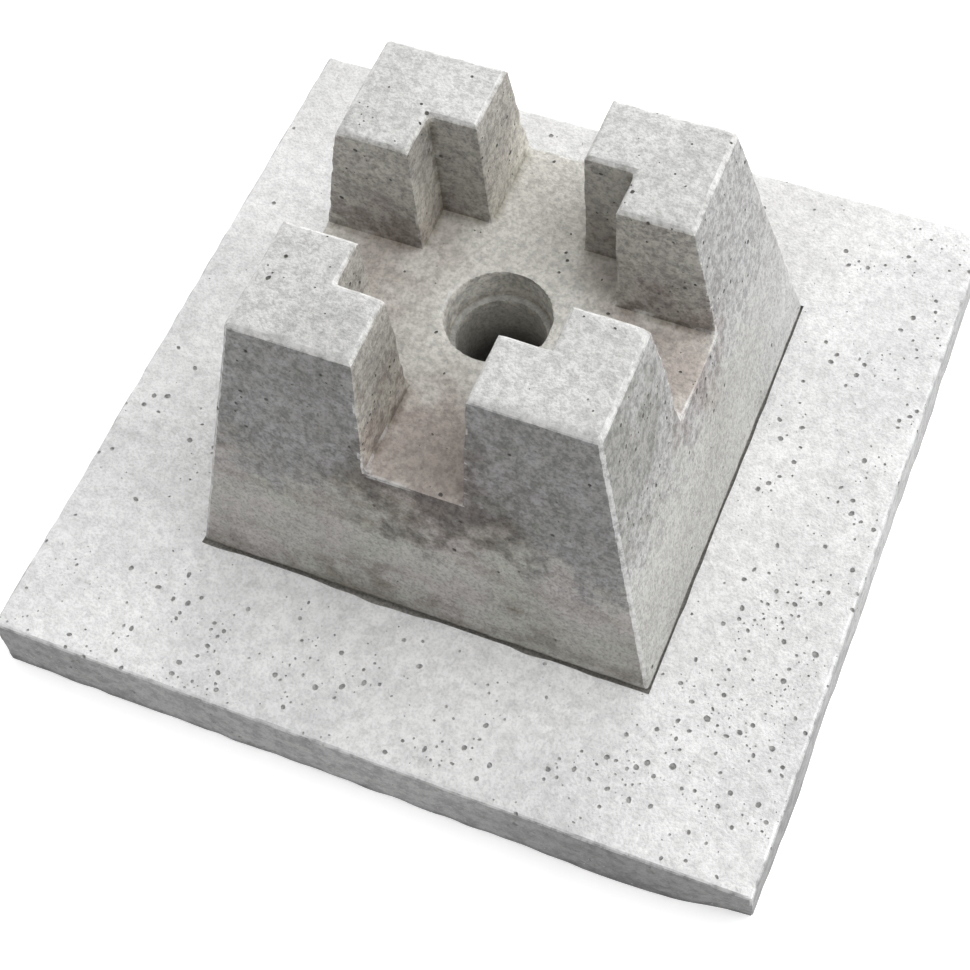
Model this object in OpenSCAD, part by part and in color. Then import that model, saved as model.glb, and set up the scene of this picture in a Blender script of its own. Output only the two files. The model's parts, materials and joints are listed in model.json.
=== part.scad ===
// Cast concrete column base block on its own square footing slab.
//
// The block is a battered pier. Two joist slots cross at its top and leave four
// corner towers, which are notched so that a square post can stand between them.
// A stepped round hole runs down the middle of the block to the slab.
// The origin is the centre of the slab's underside, +Z is up, and sizes are in millimetres.

/* [Footing slab] */
// Width of the slab's square top face
slab_w = 400; // [320:5:600]
// Thickness of the slab
slab_t = 40; // [30:1:80]
// How far each side of the slab leans out between its top and its foot
slab_batter = 2; // [0:0.5:6]
// Chamfer along the slab's edges
slab_arris = 1.5; // [0.5:0.5:4]

/* [Pier block] */
// Width of the block's square foot
foot_w = 242; // [200:1:300]
// Width of the block's square top
top_w = 178; // [150:1:225]
// Height of the block, from the slab to the tops of its towers
block_h = 166; // [140:1:230]
// Chamfer along the block's worn edges
block_arris = 2; // [1:0.5:4]

/* [Joist slots] */
// Width of a slot at the tower tops
slot_top_w = 53; // [50:1:70]
// Width of a slot at its floor
slot_floor_w = 49; // [38:1:50]
// Height of the slot floor above the slab
seat_h = 95; // [60:1:130]

/* [Post recess] */
// Width of the square post recess at the tower tops
recess_top_w = 102; // [92:1:130]
// Width of the square post recess at its floor
recess_floor_w = 101; // [90:1:128]

/* [Centre hole] */
// Diameter of the hole's wide mouth in the recess floor
mouth_d = 52; // [46:1:80]
// Depth of the wide mouth, down to its ledge
mouth_depth = 18; // [8:1:40]
// Diameter of the hole below the ledge
bore_d = 44; // [20:1:45]

/* [Hidden] */

$fn = 96;
// How far a cutting shape runs past the face that it opens
run_past = 1;
// Depth of the slots and of the recess, below the tower tops
slot_depth = block_h - seat_h;

module footing_slab() {
    color("gainsboro")
        battered_block(slab_w + 2 * slab_batter, slab_w, slab_t, slab_arris);
}

module pier_block() {
    color("darkgray")
        translate([0, 0, slab_t])
            difference() {
                battered_block(foot_w, top_w, block_h, block_arris);
                crossing_slots();
                post_recess();
                stepped_hole();
            }
}

// The slots run right through the block, one along X and one along Y.
module crossing_slots() {
    for (turn = [0, 90])
        rotate([0, 0, turn])
            trapezoid_bar(flared_outline(slot_floor_w, slot_top_w), foot_w + 2 * run_past);
}

module post_recess() {
    outline = flared_outline(recess_floor_w, recess_top_w);
    crossed_bars(outline, recess_top_w + 2 * (block_arris + run_past));
}

// A wide mouth, a flat ledge, and a narrower bore down to the slab.
module stepped_hole() {
    translate([0, 0, -run_past])
        cylinder(d = bore_d, h = seat_h + 2 * run_past);
    translate([0, 0, seat_h - mouth_depth])
        cylinder(d = mouth_d, h = mouth_depth + run_past);
}

// A square block whose four sides lean in, with every edge chamfered.
module battered_block(low_w, high_w, h, arris) {
    reach = 2 * max(low_w, high_w);
    intersection() {
        crossed_bars(chamfered_outline(low_w, high_w, h, arris), reach);
        // The same block turned by 45 degrees trims the four upright edges.
        rotate([0, 0, 45])
            crossed_bars(battered_outline(sqrt(2) * (low_w - arris), sqrt(2) * (high_w - arris), h), reach);
    }
}

// What two equal bars, one along X and one along Y, have in common.
module crossed_bars(outline, length) {
    intersection() {
        trapezoid_bar(outline, length);
        rotate([0, 0, 90]) trapezoid_bar(outline, length);
    }
}

// A bar along Y whose cross-section is an outline of [x, z] points.
module trapezoid_bar(outline, length) {
    rotate([90, 0, 0])
        linear_extrude(height = length, center = true)
            polygon(outline);
}

// A bar's cross-section from one side's points, which run from the bottom to the top.
function both_sides(side) = concat(side, [for (i = [len(side) - 1 : -1 : 0]) [-side[i][0], side[i][1]]]);

function battered_outline(low_w, high_w, h) = both_sides([[low_w / 2, 0], [high_w / 2, h]]);

function chamfered_outline(low_w, high_w, h, arris) =
    let (lean = (high_w - low_w) / 2 / h)
    both_sides([
        [low_w / 2 - arris, 0],
        [low_w / 2 + lean * arris, arris],
        [high_w / 2 - lean * arris, h - arris],
        [high_w / 2 - arris, h]
    ]);

// The cross-section of a cut in the block's top: it leans out upward, and its lips are chamfered.
function flared_outline(floor_w, mouth_w) =
    let (lip = block_arris, lean = (mouth_w - floor_w) / 2 / slot_depth)
    both_sides([
        [floor_w / 2, seat_h],
        [mouth_w / 2 - lean * lip, block_h - lip],
        [mouth_w / 2 + lip, block_h],
        [mouth_w / 2 + lip, block_h + run_past]
    ]);

footing_slab();
pier_block();
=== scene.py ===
"""A cast concrete column base block on its footing slab, lit like a studio product photograph.

Both castings start as copies of their CAD solids. They are remeshed into even small faces, their
arrises are worn and broken, and then air pits are carved out of them. A ragged joint line is carved
into the slab's top along the block's foot. All lengths are in metres, and those written as a number
times MM, or said to be so, are in millimetres.
"""

import json
import math

import bmesh
import bpy
import numpy as np
from mathutils import Matrix, Vector, noise


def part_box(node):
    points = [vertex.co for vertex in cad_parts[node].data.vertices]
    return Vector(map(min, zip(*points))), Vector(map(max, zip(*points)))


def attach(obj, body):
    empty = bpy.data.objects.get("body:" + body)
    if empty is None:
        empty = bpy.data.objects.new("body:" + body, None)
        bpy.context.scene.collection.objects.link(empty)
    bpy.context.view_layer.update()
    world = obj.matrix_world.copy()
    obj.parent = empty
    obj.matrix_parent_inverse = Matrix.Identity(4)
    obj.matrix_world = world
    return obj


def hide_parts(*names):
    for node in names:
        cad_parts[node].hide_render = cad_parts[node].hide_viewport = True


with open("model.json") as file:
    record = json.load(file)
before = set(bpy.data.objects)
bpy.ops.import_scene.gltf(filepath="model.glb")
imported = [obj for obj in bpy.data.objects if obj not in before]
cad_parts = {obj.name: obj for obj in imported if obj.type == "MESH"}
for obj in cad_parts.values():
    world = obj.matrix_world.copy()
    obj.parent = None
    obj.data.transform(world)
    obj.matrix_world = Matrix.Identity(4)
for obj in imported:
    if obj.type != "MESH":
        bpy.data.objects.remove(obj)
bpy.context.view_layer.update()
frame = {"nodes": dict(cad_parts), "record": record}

MM = 0.001
# Points closer than this become one.
TOUCHING = 0.001 * MM
# Points this close to the lowest belong to the flat underside.
FLATNESS = 0.1 * MM
# How far apart pits lie, as a share of their two radii together. A lump reaches out to 1.46 radii.
PIT_SPACING = 1.5

mounts = {mount["name"]: mount for mount in frame["record"]["mounts"]}
slab_lo, slab_hi = (np.array(corner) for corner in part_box("footing_slab"))
block_lo, block_hi = (np.array(corner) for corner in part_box("pier_block"))
seat_z = mounts["timber_seat"]["pos_m"][2]


# ---------------------------------------------------------------- mesh helpers

def new_object(name, mesh):
    obj = bpy.data.objects.new(name, mesh)
    bpy.context.scene.collection.objects.link(obj)
    return obj


def apply_modifiers(obj):
    depsgraph = bpy.context.evaluated_depsgraph_get()
    mesh = bpy.data.meshes.new_from_object(obj.evaluated_get(depsgraph))
    obj.modifiers.clear()
    obj.data = mesh


def get_points(mesh):
    points = np.empty(len(mesh.vertices) * 3)
    mesh.vertices.foreach_get("co", points)
    return points.reshape(-1, 3)


def set_points(mesh, points):
    mesh.vertices.foreach_set("co", points.ravel())
    mesh.update()


def get_normals(mesh):
    normals = np.empty(len(mesh.vertices) * 3)
    mesh.vertices.foreach_get("normal", normals)
    return normals.reshape(-1, 3)


def noise_at(points, size, seed):
    """Smooth noise from about -1 to 1 at each point, with lumps about as wide as size."""
    offset = Vector((seed * 7.3, seed * 3.1, seed * 5.7))
    return np.array([noise.noise(Vector(p) / size + offset) for p in points])


def even_copy(node, name, spacing):
    """A new object with the CAD node's shape and sharp edges, in even faces of about that spacing."""
    obj = new_object(name, frame["nodes"][node].data.copy())
    obj.data.materials.clear()
    low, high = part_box(node)
    remesh = obj.modifiers.new("even", "REMESH")
    remesh.mode = "SHARP"
    remesh.octree_depth = 8
    remesh.scale = max(high[axis] - low[axis] for axis in range(3)) / spacing / 2 ** remesh.octree_depth
    remesh.use_remove_disconnected = False
    apply_modifiers(obj)
    return obj


def wear_arrises(mesh, strength, rounds=12, pull=0.5, first_pull=0.3):
    """Wears the edges by smoothing, in more rounds the nearer a point's strength is to 1.

    A round moves a point by up to pull of the way to its neighbours' middle. Even with no strength,
    each point moves by first_pull of the way in the first round.
    """
    edges = np.empty(len(mesh.edges) * 2, dtype=np.int64)
    mesh.edges.foreach_get("vertices", edges)
    first, second = edges.reshape(-1, 2).T
    points = get_points(mesh)
    count = len(points)
    degree = np.bincount(first, minlength=count) + np.bincount(second, minlength=count)
    for step in range(rounds):
        share = pull * np.clip(strength * rounds - step, 0, 1)
        if step == 0:
            share = np.maximum(share, first_pull)
        for axis in range(3):
            total = np.bincount(first, points[second, axis], count)
            total += np.bincount(second, points[first, axis], count)
            points[:, axis] += share * (total / degree - points[:, axis])
    set_points(mesh, points)


def coarsen_underside(obj, low_z, merged=0.9):
    """Merges that share of the faces of the flat underside, which is never seen, to save triangles."""
    group = obj.vertex_groups.new(name="underside")
    points = get_points(obj.data)
    underside = np.flatnonzero(points[:, 2] < low_z + FLATNESS)
    group.add(underside.tolist(), 1.0, "REPLACE")
    merge = obj.modifiers.new("merge", "DECIMATE")
    merge.decimate_type = "COLLAPSE"
    merge.vertex_group = group.name
    merge.vertex_group_factor = 1.0
    merge.ratio = 1 - merged * len(underside) / len(points)
    apply_modifiers(obj)
    obj.vertex_groups.clear()


# ---------------------------------------------------------------- pits and the joint line

def scatter(mesh, rng, count, density, radius):
    """Random spots on a mesh as (point, normal, radius), too far apart for their pits to overlap.

    density gives the spots' density on each face from the faces' centres and normals, and radius turns
    a random number from 0 to 1 into a pit's radius.
    """
    mesh.calc_loop_triangles()
    corners = np.empty(len(mesh.loop_triangles) * 3, dtype=np.int64)
    mesh.loop_triangles.foreach_get("vertices", corners)
    points = get_points(mesh)
    a, b, c = (points[corners.reshape(-1, 3)[:, i]] for i in range(3))
    cross = np.cross(b - a, c - a)
    area = np.linalg.norm(cross, axis=1)
    normal = cross / np.maximum(area, 1e-12)[:, None]
    weight = area * density((a + b + c) / 3, normal)
    picks = rng.choice(len(area), size=3 * count, p=weight / weight.sum())
    spots, taken = [], {}
    cell = 2 * PIT_SPACING * radius(1.0)
    for pick in picks:
        u, v = sorted(rng.random(2))
        point = a[pick] * u + b[pick] * (v - u) + c[pick] * (1 - v)
        r = radius(rng.random())
        key = tuple(np.floor(point / cell).astype(int))
        near = [spot for dx in (-1, 0, 1) for dy in (-1, 0, 1) for dz in (-1, 0, 1)
                for spot in taken.get((key[0] + dx, key[1] + dy, key[2] + dz), ())]
        if any(np.linalg.norm(point - q) < PIT_SPACING * (r + s) for q, _, s in near):
            continue
        spots.append((point, normal[pick], r))
        taken.setdefault(key, []).append(spots[-1])
        if len(spots) == count:
            break
    return spots


def pit_radius(smallest, spread, rarity):
    """What scatter takes as radius. The big pits get rarer with rarity. The sizes are in millimetres."""
    return lambda u: (smallest + spread * u ** rarity) * MM


def lump(level):
    """An icosphere's points and faces."""
    bm = bmesh.new()
    bmesh.ops.create_icosphere(bm, subdivisions=level, radius=1)
    points = np.array([v.co for v in bm.verts])
    faces = np.array([[v.index for v in f.verts] for f in bm.faces])
    bm.free()
    return points, faces


def pit_cutter(spots, rng, material, big=0.9 * MM, unevenness=0.12, sunk=0.15):
    """One object with an uneven lump at each spot, to be cut out of a piece.

    The big lumps have finer faces. Each lump is sunk by that share of its radius below the surface.
    """
    balls = {level: lump(level) for level in (1, 2)}
    points, faces, start = [], [], 0
    for centre, normal, radius in spots:
        ball, ball_faces = balls[2 if radius > big else 1]
        facing = Vector(normal).to_track_quat("Z", "Y").to_matrix()
        turn = np.array(facing @ Matrix.Rotation(rng.random() * math.tau, 3, "Z"))
        stretch = np.array([rng.uniform(0.7, 1.2), rng.uniform(0.8, 1.3), rng.uniform(0.8, 1.1)])
        uneven = 1 + unevenness * rng.uniform(-1, 1, size=(len(ball), 1))
        shape = ball * uneven * stretch * radius
        shape[:, 2] -= sunk * radius
        points.append(shape @ turn.T + centre)
        faces.append(ball_faces + start)
        start += len(ball)
    mesh = bpy.data.meshes.new("cutter")
    mesh.from_pydata(np.concatenate(points).tolist(), [], np.concatenate(faces).tolist())
    mesh.materials.append(material)
    return new_object("cutter", mesh)


def carve(piece, cutter):
    """Cuts the cutter out of the piece. The new faces take the cutter's material."""
    cut = piece.modifiers.new("carve", "BOOLEAN")
    cut.operation = "DIFFERENCE"
    cut.solver = "MANIFOLD"
    cut.material_mode = "TRANSFER"
    cut.object = cutter
    apply_modifiers(piece)
    bpy.data.objects.remove(cutter)


def make_sound(mesh):
    """Joins points that all but touch and splits the faces into triangles.

    The mesh then stays closed even when its numbers are made less exact.
    """
    bm = bmesh.new()
    bm.from_mesh(mesh)
    bmesh.ops.remove_doubles(bm, verts=bm.verts, dist=TOUCHING)
    bmesh.ops.triangulate(bm, faces=bm.faces)
    bm.to_mesh(mesh)
    bm.free()


def joint_cutter(material):
    """A thin square ring round the block's foot, which cuts the joint line into the slab's top.

    Its section has four corners. The two inner ones lie under the block, and the two outer ones wander
    in and out beside its foot. The section's sizes are in millimetres.
    """
    steps, half = 480, block_hi[0]
    under, bottom, top = 5, -2.5, 1
    usual, least = 0.7, 0.15
    front_right_back_left = (0.85, 0.45, 0.7, 0.7)
    points = []
    for is_outer, z in ((False, bottom), (False, top), (True, top), (True, bottom)):
        for step in range(steps):
            side, along = divmod(step / steps * 4, 1)
            point = Vector((2 * along - 1, -1, 0))
            point.rotate(Matrix.Rotation(side * math.pi / 2, 3, "Z"))
            out = -under
            if is_outer:
                wander = 1.7 * noise.noise(point * half / (16 * MM))
                wander += 1.3 * noise.noise(point * half / (60 * MM))
                out = max(least, usual + wander) * front_right_back_left[int(side)]
            point *= half + out * MM
            point.z = block_lo[2] + z * MM
            points.append(point)
    faces = []
    for corner in range(4):
        here, ahead = corner * steps, (corner + 1) % 4 * steps
        for step in range(steps):
            after = (step + 1) % steps
            faces.append((here + step, ahead + step, ahead + after, here + after))
    mesh = bpy.data.meshes.new("joint")
    mesh.from_pydata(points, [], faces)
    mesh.materials.append(material)
    return new_object("joint", mesh)


def bump_map(points, spots):
    """A sum of soft round hills, each an (x, y, z, width, height) in millimetres, at each point."""
    total = np.zeros(len(points))
    for x, y, z, width, height in spots:
        away = np.linalg.norm(points / MM - (x, y, z), axis=1)
        total += height * np.exp(-((away / width) ** 2))
    return total


# ---------------------------------------------------------------- materials

class Nodes:
    """A material's node tree, with short calls for the nodes used here.

    out is how far from the block's centre line a face's plane lies, which tells outer walls from inner.
    """

    # The colour sockets of a Mix node, which share their names with its other sockets.
    FIRST_COLOUR, SECOND_COLOUR, MIXED_COLOUR = 6, 7, 2

    def __init__(self, name):
        self.material = bpy.data.materials.new(name)
        self.material.use_nodes = True
        self.tree = self.material.node_tree
        self.shader = self.tree.nodes["Principled BSDF"]
        self.place = self.add("ShaderNodeTexCoord").outputs["Object"]
        self.geometry = self.add("ShaderNodeNewGeometry")
        self.x, self.y, self.z = self.split(self.place)
        self.nx, self.ny, self.nz = self.split(self.geometry.outputs["True Normal"])
        out_y = self.math("MULTIPLY", self.y, self.ny)
        self.out = self.math("ADD", self.math("MULTIPLY", self.x, self.nx), out_y)

    def add(self, kind, **settings):
        node = self.tree.nodes.new(kind)
        for key, value in settings.items():
            setattr(node, key, value)
        return node

    def feed(self, socket, value):
        if isinstance(value, bpy.types.NodeSocket):
            self.tree.links.new(value, socket)
        else:
            socket.default_value = value

    def split(self, vector):
        node = self.add("ShaderNodeSeparateXYZ")
        self.feed(node.inputs[0], vector)
        return node.outputs

    def noise(self, size, detail=3.0, rough=0.55, place=None):
        """Noise about 0.5, with lumps about as wide as size."""
        node = self.add("ShaderNodeTexNoise")
        self.feed(node.inputs["Vector"], place or self.place)
        self.feed(node.inputs["Scale"], 1 / size)
        self.feed(node.inputs["Detail"], detail)
        self.feed(node.inputs["Roughness"], rough)
        return node.outputs["Fac"]

    def ramp(self, value, low, high, to_low=0.0, to_high=1.0):
        """to_low where value is low, to_high where it is high, and smooth between and flat beyond."""
        node = self.add("ShaderNodeMapRange", interpolation_type="SMOOTHSTEP")
        for socket, number in zip(node.inputs, (value, low, high, to_low, to_high)):
            self.feed(socket, number)
        return node.outputs["Result"]

    def math(self, operation, *values):
        node = self.add("ShaderNodeMath", operation=operation)
        for socket, value in zip(node.inputs, values):
            self.feed(socket, value)
        return node.outputs[0]

    def mix(self, amount, first, second, blend="MIX"):
        node = self.add("ShaderNodeMix", data_type="RGBA", blend_type=blend)
        self.feed(node.inputs["Factor"], amount)
        self.feed(node.inputs[self.FIRST_COLOUR], first)
        self.feed(node.inputs[self.SECOND_COLOUR], second)
        return node.outputs[self.MIXED_COLOUR]

    def stretched(self, x, y, z):
        """Coordinates multiplied by these numbers."""
        node = self.add("ShaderNodeMapping")
        self.feed(node.inputs["Vector"], self.place)
        self.feed(node.inputs["Scale"], (x, y, z))
        return node.outputs["Vector"]

    def near(self, x, y, z, inner, outer):
        """1 within inner of a place and 0 beyond outer, all in millimetres, with a wavy edge."""
        node = self.add("ShaderNodeVectorMath", operation="DISTANCE")
        self.feed(node.inputs[0], self.place)
        self.feed(node.inputs[1], Vector((x, y, z)) * MM)
        swing = 0.25 * outer * MM
        wave = self.ramp(self.noise(18 * MM), 0.3, 0.7, -swing, swing)
        return self.ramp(self.math("ADD", node.outputs["Value"], wave), outer * MM, inner * MM)

    def both(self, *masks):
        """1 where all the masks are 1."""
        total = masks[0]
        for mask in masks[1:]:
            total = self.math("MULTIPLY", total, mask)
        return total

    def bump(self, height, depth, below=None):
        """A normal from height, which is depth metres deep, laid over the normal below."""
        node = self.add("ShaderNodeBump")
        self.feed(node.inputs["Height"], height)
        self.feed(node.inputs["Distance"], depth)
        if below:
            self.feed(node.inputs["Normal"], below)
        return node.outputs["Normal"]

    def darken(self, amount, tone, by):
        """The tone multiplied by a colour, in that amount."""
        return self.mix(amount, tone, by, "MULTIPLY")

    def faces_right(self):
        """1 on faces that look towards +X."""
        return self.ramp(self.nx, 0.5, 0.8)

    def faces_front(self):
        """1 on faces that look towards -Y."""
        return self.ramp(self.ny, -0.5, -0.8)

    def creases(self):
        """1 in inner corners and 0 elsewhere."""
        return self.ramp(self.geometry.outputs["Pointiness"], 0.49, 0.43)

    def edges(self):
        """1 on worn arrises, whose faces look along no axis, and 0 elsewhere and in the centre hole."""
        widest = 0
        for part in (self.nx, self.ny, self.nz):
            widest = self.math("MAXIMUM", widest, self.math("ABSOLUTE", part))
        y_squared = self.math("MULTIPLY", self.y, self.y)
        reach = self.math("SQRT", self.math("MULTIPLY_ADD", self.x, self.x, y_squared))
        return self.both(self.ramp(widest, 0.95, 0.87), self.ramp(reach, 26 * MM, 29 * MM))


def tint(value, warm=0.0, green=0.0):
    """A linear grey of that value. Warm takes blue out of it, and green takes a little red out too."""
    return (value * (1 - 0.3 * green), value * (1 - 0.3 * warm), value * (1 - warm - 0.6 * green), 1)


def finish_concrete(n, tone, mottle, grain):
    """Matt concrete of that tone, with its mottle and its grain as relief too."""
    n.feed(n.shader.inputs["Base Color"], tone)
    n.feed(n.shader.inputs["Roughness"], n.ramp(mottle, 0.3, 0.7, 0.95, 0.78))
    n.shader.inputs["Specular IOR Level"].default_value = 0.25
    coarse = n.bump(mottle, 0.7 * MM)
    n.feed(n.shader.inputs["Normal"], n.bump(grain, 0.35 * MM, coarse))
    return n.material


def slab_concrete():
    n = Nodes("slab_cast_concrete")
    cloud = n.noise(60 * MM, detail=2)
    blotch = n.noise(14 * MM, detail=3)
    mottle = n.noise(6 * MM, detail=5, rough=0.65)
    grain = n.noise(1.3 * MM, detail=2)
    side = n.ramp(n.nz, 0.95, 0.75)
    front = n.faces_front()

    tone = n.mix(n.ramp(cloud, 0.35, 0.65), tint(0.76), tint(0.84, 0.005))
    tone = n.darken(n.ramp(blotch, 0.45, 0.25, 0, 0.5), tone, tint(0.8))
    tone = n.darken(n.ramp(mottle, 0.62, 0.36), tone, tint(0.86))
    tone = n.darken(n.ramp(grain, 0.6, 0.3), tone, tint(0.84))

    # The strip behind the block is painted a little darker, as painted shade.
    painted_shade_behind = n.both(n.ramp(n.y, 110 * MM, 150 * MM), n.ramp(n.x, 160 * MM, 90 * MM))
    tone = n.darken(painted_shade_behind, tone, tint(0.91, 0.01))

    # The sides are painted darker as painted shade, and darker still near the ground, at the left end
    # and towards the near corner.
    tone = n.darken(side, tone, tint(0.49))
    tone = n.darken(n.both(side, n.ramp(mottle, 0.6, 0.3)), tone, tint(0.82))
    low = n.math("ADD", n.z, n.ramp(blotch, 0.3, 0.7, -2 * MM, 2 * MM))
    tone = n.darken(n.both(side, n.ramp(low, 9 * MM, 1 * MM)), tone, tint(0.6))
    tone = n.darken(n.both(front, n.ramp(n.x, 20 * MM, 150 * MM)), tone, tint(0.70))
    tone = n.darken(n.both(front, n.ramp(n.x, -110 * MM, -150 * MM)), tone, tint(0.85))
    tone = n.darken(n.both(n.faces_right(), n.ramp(n.y, 0, -180 * MM)), tone, tint(0.68))
    # The arrises are mixed paler, partly as worn concrete and partly as a painted highlight.
    tone = n.mix(n.both(n.edges(), n.ramp(mottle, 0.3, 0.6, 0.05, 0.4)), tone, tint(0.82))
    return finish_concrete(n, tone, mottle, grain)


def outer_walls(n, level, blotch):
    """The block's outer walls, painted darker than the tops as painted shade.
    They are warm, smooth and paler on the lower half, partly as painted light thrown up from the slab,
    and darker on the upper.
    """
    foot = block_lo[2]
    warmth = n.ramp(n.noise(38 * MM, detail=2), 0.35, 0.65)
    streak = n.noise(1, detail=3, place=n.stretched(12, 12, 120))
    lower = n.mix(warmth, tint(0.71, 0.05, 0.05), tint(0.70, 0.09, -0.08))
    lower = n.darken(n.ramp(streak, 0.55, 0.35), lower, tint(0.85, 0.04))
    upper = n.mix(n.ramp(blotch, 0.35, 0.65), tint(0.42, 0.02, 0.02), tint(0.495, 0.0, -0.02))
    walls = n.mix(n.ramp(level, foot + 60 * MM, foot + 96 * MM), lower, upper)

    # A dark band lies where the two halves meet, below the front channel.
    band = n.ramp(level, foot + 60 * MM, foot + 78 * MM)
    band = n.both(band, n.ramp(level, foot + 108 * MM, foot + 90 * MM))
    band = n.both(band, n.ramp(n.x, -60 * MM, -25 * MM), n.ramp(n.x, 75 * MM, 45 * MM))
    walls = n.darken(band, walls, tint(0.74, 0.03, 0.02))

    # The walls are darker along the foot, most of all in the middle.
    middle = n.math("SUBTRACT", n.ramp(n.x, -90 * MM, -50 * MM), n.ramp(n.x, 45 * MM, 85 * MM))
    foot_darkening = n.both(n.ramp(level, foot + 26 * MM, foot), n.ramp(middle, 0, 1, 0.45, 0.8))
    walls = n.darken(foot_darkening, walls, tint(0.62, 0.12, -0.04))

    # The right wall has tones of its own: its upper half is painted paler than on the other walls, as
    # painted light where it faces the lamps, and it is paler towards the back and darker high on the
    # near tower.
    far = n.ramp(n.y, 20 * MM, 90 * MM)
    right_lower = n.mix(far, tint(0.61, 0.03, 0.02), tint(0.70))
    right_upper = n.mix(far, tint(0.565), tint(0.61))
    right = n.mix(n.ramp(level, foot + 55 * MM, foot + 100 * MM), right_lower, right_upper)
    right = n.darken(n.near(94, -82, 175, 15, 62), right, tint(0.72, 0.03, 0.02))
    walls = n.mix(n.faces_right(), walls, right)
    # Painted shade darkens the lowest few millimetres of the walls, at the joint line.
    joint_shade = n.ramp(n.z, foot + 4 * MM, foot + 1.5 * MM)
    return n.darken(joint_shade, walls, tint(0.5, 0.08))


def channel_walls(n, blotch):
    """The warmer walls of the channels and notches, whose painted light and shade change with facing and
    height: they darken upwards unless they face the front, and those pale upwards.
    """
    walls = n.mix(n.ramp(blotch, 0.3, 0.7), tint(0.74, 0.10, -0.05), tint(0.86, 0.08, 0.02))
    others = n.mix(n.ramp(n.z, seat_z + 12 * MM, seat_z + 58 * MM), tint(1.16, 0.04), tint(0.74, 0.02))
    front = n.mix(n.ramp(n.z, seat_z + 30 * MM, seat_z + 62 * MM), tint(0.88), tint(1.02))
    return n.darken(1.0, walls, n.mix(n.faces_front(), others, front))


def hole_walls(n):
    """The centre hole's walls, darker below the ledge and nearly black lower down, as painted shade."""
    walls = n.mix(n.ramp(n.z, seat_z - 20 * MM, seat_z - 16 * MM), tint(0.84, 0.10), tint(1.0, 0.08))
    return n.darken(n.ramp(n.z, seat_z - 30 * MM, seat_z - 60 * MM), walls, tint(0.2))


def block_concrete():
    n = Nodes("pier_cast_concrete")
    cloud = n.noise(55 * MM, detail=2)
    blotch = n.noise(13 * MM, detail=4, rough=0.6)
    mottle = n.noise(4.5 * MM, detail=5, rough=0.7)
    grain = n.noise(1.5 * MM, detail=2)
    side = n.ramp(n.nz, 0.9, 0.62)
    flat = n.ramp(n.nz, 0.75, 0.95)
    outside = n.both(side, n.ramp(n.out, 60 * MM, 75 * MM))
    inside = n.both(side, n.ramp(n.out, 75 * MM, 60 * MM))
    hole = n.ramp(n.z, seat_z - 1 * MM, seat_z - 4 * MM)

    # The height, but wavering, so that the tones don't change along a straight line.
    cloud_waver = n.ramp(cloud, 0.3, 0.7, -12 * MM, 12 * MM)
    blotch_waver = n.ramp(blotch, 0.3, 0.7, -14 * MM, 14 * MM)
    level = n.math("ADD", n.z, n.math("ADD", cloud_waver, blotch_waver))

    tone = n.mix(n.ramp(cloud, 0.35, 0.65), tint(0.62, 0.02, 0.01), tint(0.70, 0.01, 0.01))
    on_seat = n.both(flat, n.ramp(n.z, seat_z + 10 * MM, seat_z + 4 * MM))
    tone = n.darken(on_seat, tone, tint(1.05, 0.07, 0.0))
    on_ledge = n.both(flat, hole)
    tone = n.darken(on_ledge, tone, tint(0.6))
    tone = n.darken(outside, tone, outer_walls(n, level, blotch))
    in_channels = n.both(inside, n.math("SUBTRACT", 1, hole))
    tone = n.darken(in_channels, tone, channel_walls(n, blotch))
    tone = n.darken(n.both(inside, hole), tone, hole_walls(n))

    # One tower's top is dull, and water left brown stains on the channel floors and in the notches.
    dull = n.both(flat, n.near(-64, -64, block_hi[2] / MM, 40, 75))
    tone = n.darken(dull, tone, tint(0.9))
    for x, y, inner, outer, strength in (
        (8, -84, 18, 62, 0.85), (-80, 0, 8, 50, 0.65), (88, 0, 14, 46, 0.75),
        (52, 52, 8, 38, 0.5), (-52, 40, 5, 30, 0.4),
    ):
        stain = n.math("MULTIPLY", n.near(x, y, seat_z / MM, inner, outer), strength)
        tone = n.darken(stain, tone, tint(0.62, 0.20, -0.2))

    # Mottle and grain show least on the smooth lower half.
    foot = block_lo[2]
    open_mottle = n.mix(side, tint(0.76), tint(0.66))
    dark_mottle = n.mix(n.ramp(level, foot + 50 * MM, foot + 90 * MM), tint(0.82), open_mottle)
    tone = n.darken(n.ramp(mottle, 0.6, 0.38), tone, dark_mottle)
    tone = n.darken(n.ramp(grain, 0.58, 0.3), tone, n.mix(side, tint(0.82), tint(0.72)))
    # Painted shade, with some dirt, darkens the inner corners.
    tone = n.darken(n.creases(), tone, tint(0.62, 0.1))
    # The arrises are mixed paler, partly as worn concrete and partly as a painted highlight.
    tone = n.mix(n.both(n.edges(), n.ramp(mottle, 0.3, 0.6, 0.1, 0.5)), tone, tint(0.72))
    return finish_concrete(n, tone, mottle, grain)


def pit_lining(name, value, warm):
    """A rough dark tint of that value, for dirt and painted shade in the hollows, nearly twice as pale
    where dust lies.
    """
    n = Nodes(name)
    dust = n.noise(1.5 * MM)
    tone = n.mix(n.ramp(dust, 0.3, 0.7), tint(value, warm), tint(value * 1.8, warm))
    n.feed(n.shader.inputs["Base Color"], tone)
    n.shader.inputs["Roughness"].default_value = 0.95
    return n.material


# ---------------------------------------------------------------- the two castings

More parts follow.
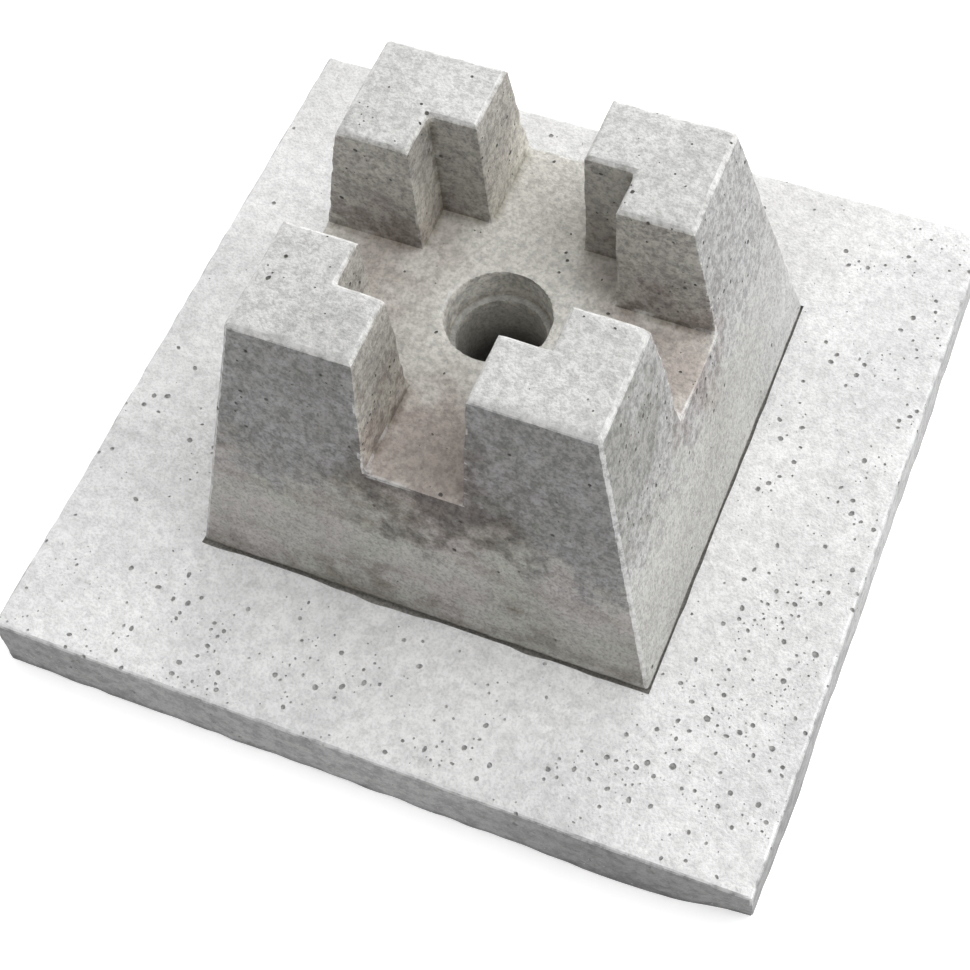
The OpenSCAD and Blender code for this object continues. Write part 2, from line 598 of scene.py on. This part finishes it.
def make_slab():
    slab = even_copy("footing_slab", "footing_slab_cast", spacing=2.4 * MM)
    mesh = slab.data
    points = get_points(mesh)
    patches = noise_at(points, 12 * MM, seed=1)
    strength = np.clip(0.14 + 0.35 * patches, 0.06, 1)
    wear_arrises(mesh, strength)

    # The lower edge is ragged all round, and broken away at two corners, most of all from the front.
    points = get_points(mesh)
    rise = np.clip(points[:, 2] / (0.35 * slab_hi[2]), 0, 1)
    lowness = 1 - rise * rise * (3 - 2 * rise)
    rough = 0.4 + 1.1 * noise_at(points, 45 * MM, seed=5) + 0.6 * noise_at(points, 14 * MM, seed=6)
    ragged = np.clip(rough, 0, None) * MM * lowness
    corners = [(202, -202, 0, 34, 7.5), (-202, 202, 0, 25, 2.5)]
    slope = np.clip(1.05 - points[:, 2] / slab_hi[2], 0, 1)
    rim = 12 * MM
    for axis, share in ((0, 0.25), (1, 1.0)):
        outer = np.clip((np.abs(points[:, axis]) - (slab_hi[0] - rim)) / rim, 0, 1)
        broken = share * bump_map(points * (1, 1, 0), corners) * MM * slope
        points[:, axis] -= np.sign(points[:, axis]) * (ragged + broken) * outer
    set_points(mesh, points)

    # The faces are slightly uneven, but the underside stays flat.
    points = get_points(mesh)
    push = 0.25 * (noise_at(points, 35 * MM, seed=2) - 1)
    push += 0.12 * (noise_at(points, 8 * MM, seed=3) - 1)
    push[points[:, 2] < 2 * FLATNESS] = 0
    points += get_normals(mesh) * push[:, None] * MM
    points[:, 2] = np.maximum(points[:, 2], slab_lo[2])
    set_points(mesh, points)
    coarsen_underside(slab, slab_lo[2])

    slab.data.materials.append(slab_concrete())
    rng = np.random.default_rng(seed=11)

    def density(centres, normals):
        """Most pits lie along the right and front edges, and a few in a patch at the left."""
        x, y = centres[:, 0] / MM, centres[:, 1] / MM
        right = np.clip((x - 95) / 60, 0, 1) * (0.5 + 0.5 * np.clip((40 - y) / 120, 0, 1))
        front = np.clip((-125 - y) / 40, 0, 1) * 0.75
        patch = np.exp(-((x + 165) ** 2 + (y + 80) ** 2) / 35 ** 2) * 0.5
        cluster = np.clip(noise_at(centres, 22 * MM, seed=7) * 2.5 + 0.6, 0.05, 2.5)
        under_block = (np.abs(x) < 118) & (np.abs(y) < 118)
        underside = normals[:, 2] < -0.5
        near_corner = np.clip((x - 120) / 40, 0, 1) * np.clip((-145 - y) / 35, 0, 1)
        share = np.clip(normals[:, 2], 0.35, 1) * (1 - 0.7 * near_corner)
        pitted = share * (0.06 + (right + front + patch) * cluster)
        return np.where(underside | under_block, 0, pitted)

    radius = pit_radius(smallest=0.42, spread=1.15, rarity=2.2)
    pits = scatter(slab.data, rng, 1000, density, radius)
    carve(slab, pit_cutter(pits, rng, pit_lining("slab_pit", value=0.3, warm=0.02)))
    # The joint line is lined with a dark tint for dirt and painted shade.
    carve(slab, joint_cutter(pit_lining("joint_dirt_and_shade", value=0.17, warm=0.12)))
    return slab


def make_block():
    block = even_copy("pier_block", "pier_block_cast", spacing=1.9 * MM)
    mesh = block.data
    points = get_points(mesh)
    patches = noise_at(points, 10 * MM, seed=4)
    strength = np.clip(0.12 + 0.35 * patches, 0.05, 1)
    top, seat = block_hi[2] / MM, seat_z / MM
    knocks = [
        (89, -26, top, 14, 1.0), (-26, -51, top, 8, 0.6), (-89, 27, top, 8, 0.5),
        (103, -25, seat, 15, 1.0), (103, 24, seat, 8, 0.5), (-24, 0, seat, 14, 0.8),
        (-15, -103, seat, 12, 0.9),
    ]
    strength += bump_map(points, knocks)
    wear_arrises(mesh, np.clip(strength, 0, 1))

    # The faces are slightly uneven, but the underside stays flat.
    points = get_points(mesh)
    push = 0.3 * (noise_at(points, 30 * MM, seed=8) - 1)
    push += 0.14 * (noise_at(points, 7 * MM, seed=9) - 1)
    push[points[:, 2] < block_lo[2] + 2 * FLATNESS] = 0
    points += get_normals(mesh) * push[:, None] * MM

    # The foot draws back unevenly from the joint line.
    low = np.clip(1 - (points[:, 2] - block_lo[2]) / (2.4 * MM), 0, 1)
    gap = low * np.clip(0.8 + 1.3 * noise_at(points, 9 * MM, seed=12), 0.1, None) * MM
    for axis in (0, 1):
        outer = np.clip((np.abs(points[:, axis]) - (block_hi[0] - 8 * MM)) / (6 * MM), 0, 1)
        points[:, axis] -= np.sign(points[:, axis]) * gap * outer
    points[:, 2] = np.maximum(points[:, 2], block_lo[2])
    set_points(mesh, points)
    coarsen_underside(block, block_lo[2])

    block.data.materials.append(block_concrete())
    rng = np.random.default_rng(seed=12)

    def density(centres, normals):
        """Most pits lie on the upper half, and above all on the right side of the near tower."""
        height = centres[:, 2] / MM
        upper = np.clip((height - 110) / 40, 0.12, 1) * np.where(normals[:, 2] > 0.8, 0.6, 1)
        rough_side = np.exp(-((centres[:, 1] / MM + 45) / 28) ** 2 - ((height - 155) / 32) ** 2)
        upper += 5 * rough_side * (normals[:, 0] > 0.5) * (centres[:, 0] > 80 * MM)
        cluster = np.clip(noise_at(centres, 24 * MM, seed=10) * 2.5 + 0.6, 0.05, 2.5)
        in_hole = np.hypot(centres[:, 0], centres[:, 1]) < 30 * MM
        underside = normals[:, 2] < -0.5
        return np.where(underside | in_hole, 0, upper * cluster)

    radius = pit_radius(smallest=0.42, spread=0.8, rarity=2.4)
    pits = scatter(block.data, rng, 620, density, radius)
    carve(block, pit_cutter(pits, rng, pit_lining("block_pit", value=0.14, warm=0.10)))
    return block


# ---------------------------------------------------------------- camera, light and floor

def direction(azimuth, elevation):
    """The way towards a place around the block, with azimuth 0 at the front and 90 at +X."""
    a, e = math.radians(azimuth), math.radians(elevation)
    return Vector((math.sin(a) * math.cos(e), -math.cos(a) * math.cos(e), math.sin(e)))


def make_camera():
    """The photograph's viewpoint, solved from the perspective of the straight edges in it."""
    back = direction(azimuth=26.96, elevation=59.45)
    roll = math.radians(-5.98)
    aim = Vector((34.3, -36.8, 72)) * MM
    distance = 936  # millimetres
    level = Vector((0, 0, 1)).cross(back).normalized()
    upright = back.cross(level)
    right = level * math.cos(roll) + upright * math.sin(roll)
    up = upright * math.cos(roll) - level * math.sin(roll)
    data = bpy.data.cameras.new("camera")
    data.sensor_width = 36
    data.lens = 70
    data.shift_x = -0.06
    data.shift_y = -0.02
    camera = new_object("camera", data)
    camera.matrix_world = Matrix((right, up, back)).transposed().to_4x4()
    camera.location = aim + back * distance * MM
    bpy.context.scene.camera = camera


def soft_light(name, azimuth, elevation, strength, width=40):
    """A far softbox that looks that many degrees wide from the block."""
    data = bpy.data.lights.new(name, "SUN")
    data.angle = math.radians(width)
    data.energy = strength
    light = new_object(name, data)
    light.rotation_euler = direction(azimuth, elevation).to_track_quat("Z", "Y").to_euler()


def make_light():
    soft_light("top", 0, 90, 0.19)
    soft_light("top_front_right", 60, 65, 0.62)
    soft_light("top_back_right", 120, 65, 0.85)
    soft_light("top_left", 300, 65, 0.12)
    soft_light("front", 0, 40, 0.38)
    soft_light("left", 270, 40, 0.30)
    soft_light("low_right", 90, 14, 1.81)
    soft_light("low_back_right", 135, 14, 1.09)
    soft_light("low_back", 180, 14, 2.15)
    soft_light("low_back_left", 225, 14, 1.33)
    soft_light("low_left", 270, 14, 0.50)
    world = bpy.data.worlds.new("studio")
    world.use_nodes = True
    sky = world.node_tree.nodes["Background"]
    sky.inputs["Color"].default_value = (1, 1, 1, 1)
    # The backdrop looks white, but adds only a little light.
    least_glow = 0.02
    seen = world.node_tree.nodes.new("ShaderNodeLightPath").outputs["Is Camera Ray"]
    glow = world.node_tree.nodes.new("ShaderNodeMath")
    glow.operation = "MAXIMUM"
    glow.inputs[1].default_value = least_glow
    world.node_tree.links.new(seen, glow.inputs[0])
    world.node_tree.links.new(glow.outputs[0], sky.inputs["Strength"])
    bpy.context.scene.world = world
    bpy.context.scene.view_settings.view_transform = "Standard"


def make_floor():
    """A pale floor that reaches so far that its edge never shows, even in low views."""
    far, z = 400.0, slab_lo[2]
    corners = [(-far, -far, z), (far, -far, z), (far, far, z), (-far, far, z)]
    mesh = bpy.data.meshes.new("floor")
    mesh.from_pydata(corners, [], [(0, 1, 2, 3)])
    n = Nodes("floor")
    n.shader.inputs["Base Color"].default_value = (0.95, 0.95, 0.95, 1)
    n.shader.inputs["Roughness"].default_value = 1.0
    n.shader.inputs["Emission Color"].default_value = (1, 1, 1, 1)
    n.shader.inputs["Emission Strength"].default_value = 0.3
    mesh.materials.append(n.material)
    new_object("floor", mesh)


make_camera()
make_light()
make_floor()
for node, slot, make in (
    ("footing_slab", "slab_concrete", make_slab),
    ("pier_block", "pier_concrete", make_block),
):
    piece = make()
    make_sound(piece.data)
    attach(piece, "root")
    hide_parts(node)
    print(piece.name, "triangles", len(piece.data.polygons))
